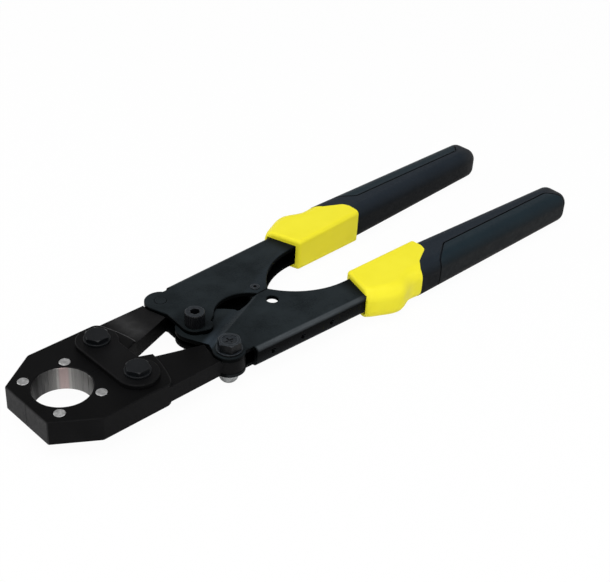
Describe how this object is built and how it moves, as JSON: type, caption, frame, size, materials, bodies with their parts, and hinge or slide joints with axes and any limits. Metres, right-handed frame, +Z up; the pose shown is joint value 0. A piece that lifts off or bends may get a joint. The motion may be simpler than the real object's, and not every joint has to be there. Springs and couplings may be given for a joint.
{
  "type": "pex crimp tool",
  "caption": "Long-handled hand crimper with a split round jaw on link plates, lapped channel levers, yellow collars and black grips, for closing copper rings on PEX pipe.",
  "frame": {"origin": "centre of the crimp bore, half way up the jaws, with the tool closed", "axes": "+X from the head to the grips, +Y to the right of a user holding the grips with the head pointing away, +Z up along the bore axis"},
  "size_m": [0.3687, 0.1006, 0.0279],
  "materials": {
    "jaw_steel": "black oxide steel, satin, with a bright machined bore",
    "plate_steel": "black oxide steel, satin",
    "black_fastener": "black oxide, slightly worn edges",
    "bright_pin": "ground steel",
    "zinc_nut": "bright zinc plate",
    "lever_steel": "black powder coat, semi-gloss on the bends",
    "yellow_plastic": "satin moulded plastic",
    "grip_rubber": "matte moulded grip",
    "inlay_rubber": "soft matte inlay"
  },
  "bodies": {
    "link": {"top_link_plate": "plate_steel", "bottom_link_plate": "plate_steel", "link_bolts": "black_fastener", "link_washers": "black_fastener", "link_nuts": "zinc_nut"},
    "right_jaw": {"right_jaw": "jaw_steel", "right_die_pins": "bright_pin"},
    "left_jaw": {"left_jaw": "jaw_steel", "left_die_pins": "bright_pin"},
    "right_handle": {"right_lever": "lever_steel", "centre_bolt": "black_fastener", "centre_washer": "black_fastener", "centre_nut": "zinc_nut", "right_tail_pin": "lever_steel", "right_lever_rivet": "black_fastener", "right_lever_spacer": "black_fastener", "right_collar": "yellow_plastic", "right_grip": "grip_rubber", "right_grip_inlay": "inlay_rubber"},
    "left_handle": {"left_lever": "lever_steel", "left_tail_bolt": "black_fastener", "left_tail_washer": "black_fastener", "left_tail_nut": "zinc_nut", "left_collar": "yellow_plastic", "left_grip": "grip_rubber", "left_grip_inlay": "inlay_rubber"}
  },
  "joints": [
    {"name": "right_handle_hinge", "type": "hinge", "parent": "right_jaw", "child": "right_handle", "pos_m": [0.0818, 0.028, 0], "axis": [0, 0, 1], "range_deg": [0, 80]},
    {"name": "left_handle_hinge", "type": "hinge", "parent": "left_jaw", "child": "left_handle", "pos_m": [0.0818, -0.028, 0], "axis": [0, 0, -1], "range_deg": [0, 80]},
    {"name": "right_jaw_hinge", "type": "hinge", "parent": "link", "child": "right_jaw", "pos_m": [0.0326, 0.0167, 0], "axis": [0, 0, -1], "range_deg": [0, 16.5]},
    {"name": "left_jaw_hinge", "type": "hinge", "parent": "link", "child": "left_jaw", "pos_m": [0.0326, -0.0167, 0], "axis": [0, 0, 1], "range_deg": [0, 16.5]}
  ],
  "couplings": [
    {"joint": "left_handle_hinge", "follows": "right_handle_hinge", "ratio": 1},
    {"joint": "right_jaw_hinge", "follows": "right_handle_hinge", "ratio": 0.20625},
    {"joint": "left_jaw_hinge", "follows": "right_handle_hinge", "ratio": 0.20625}
  ]
}
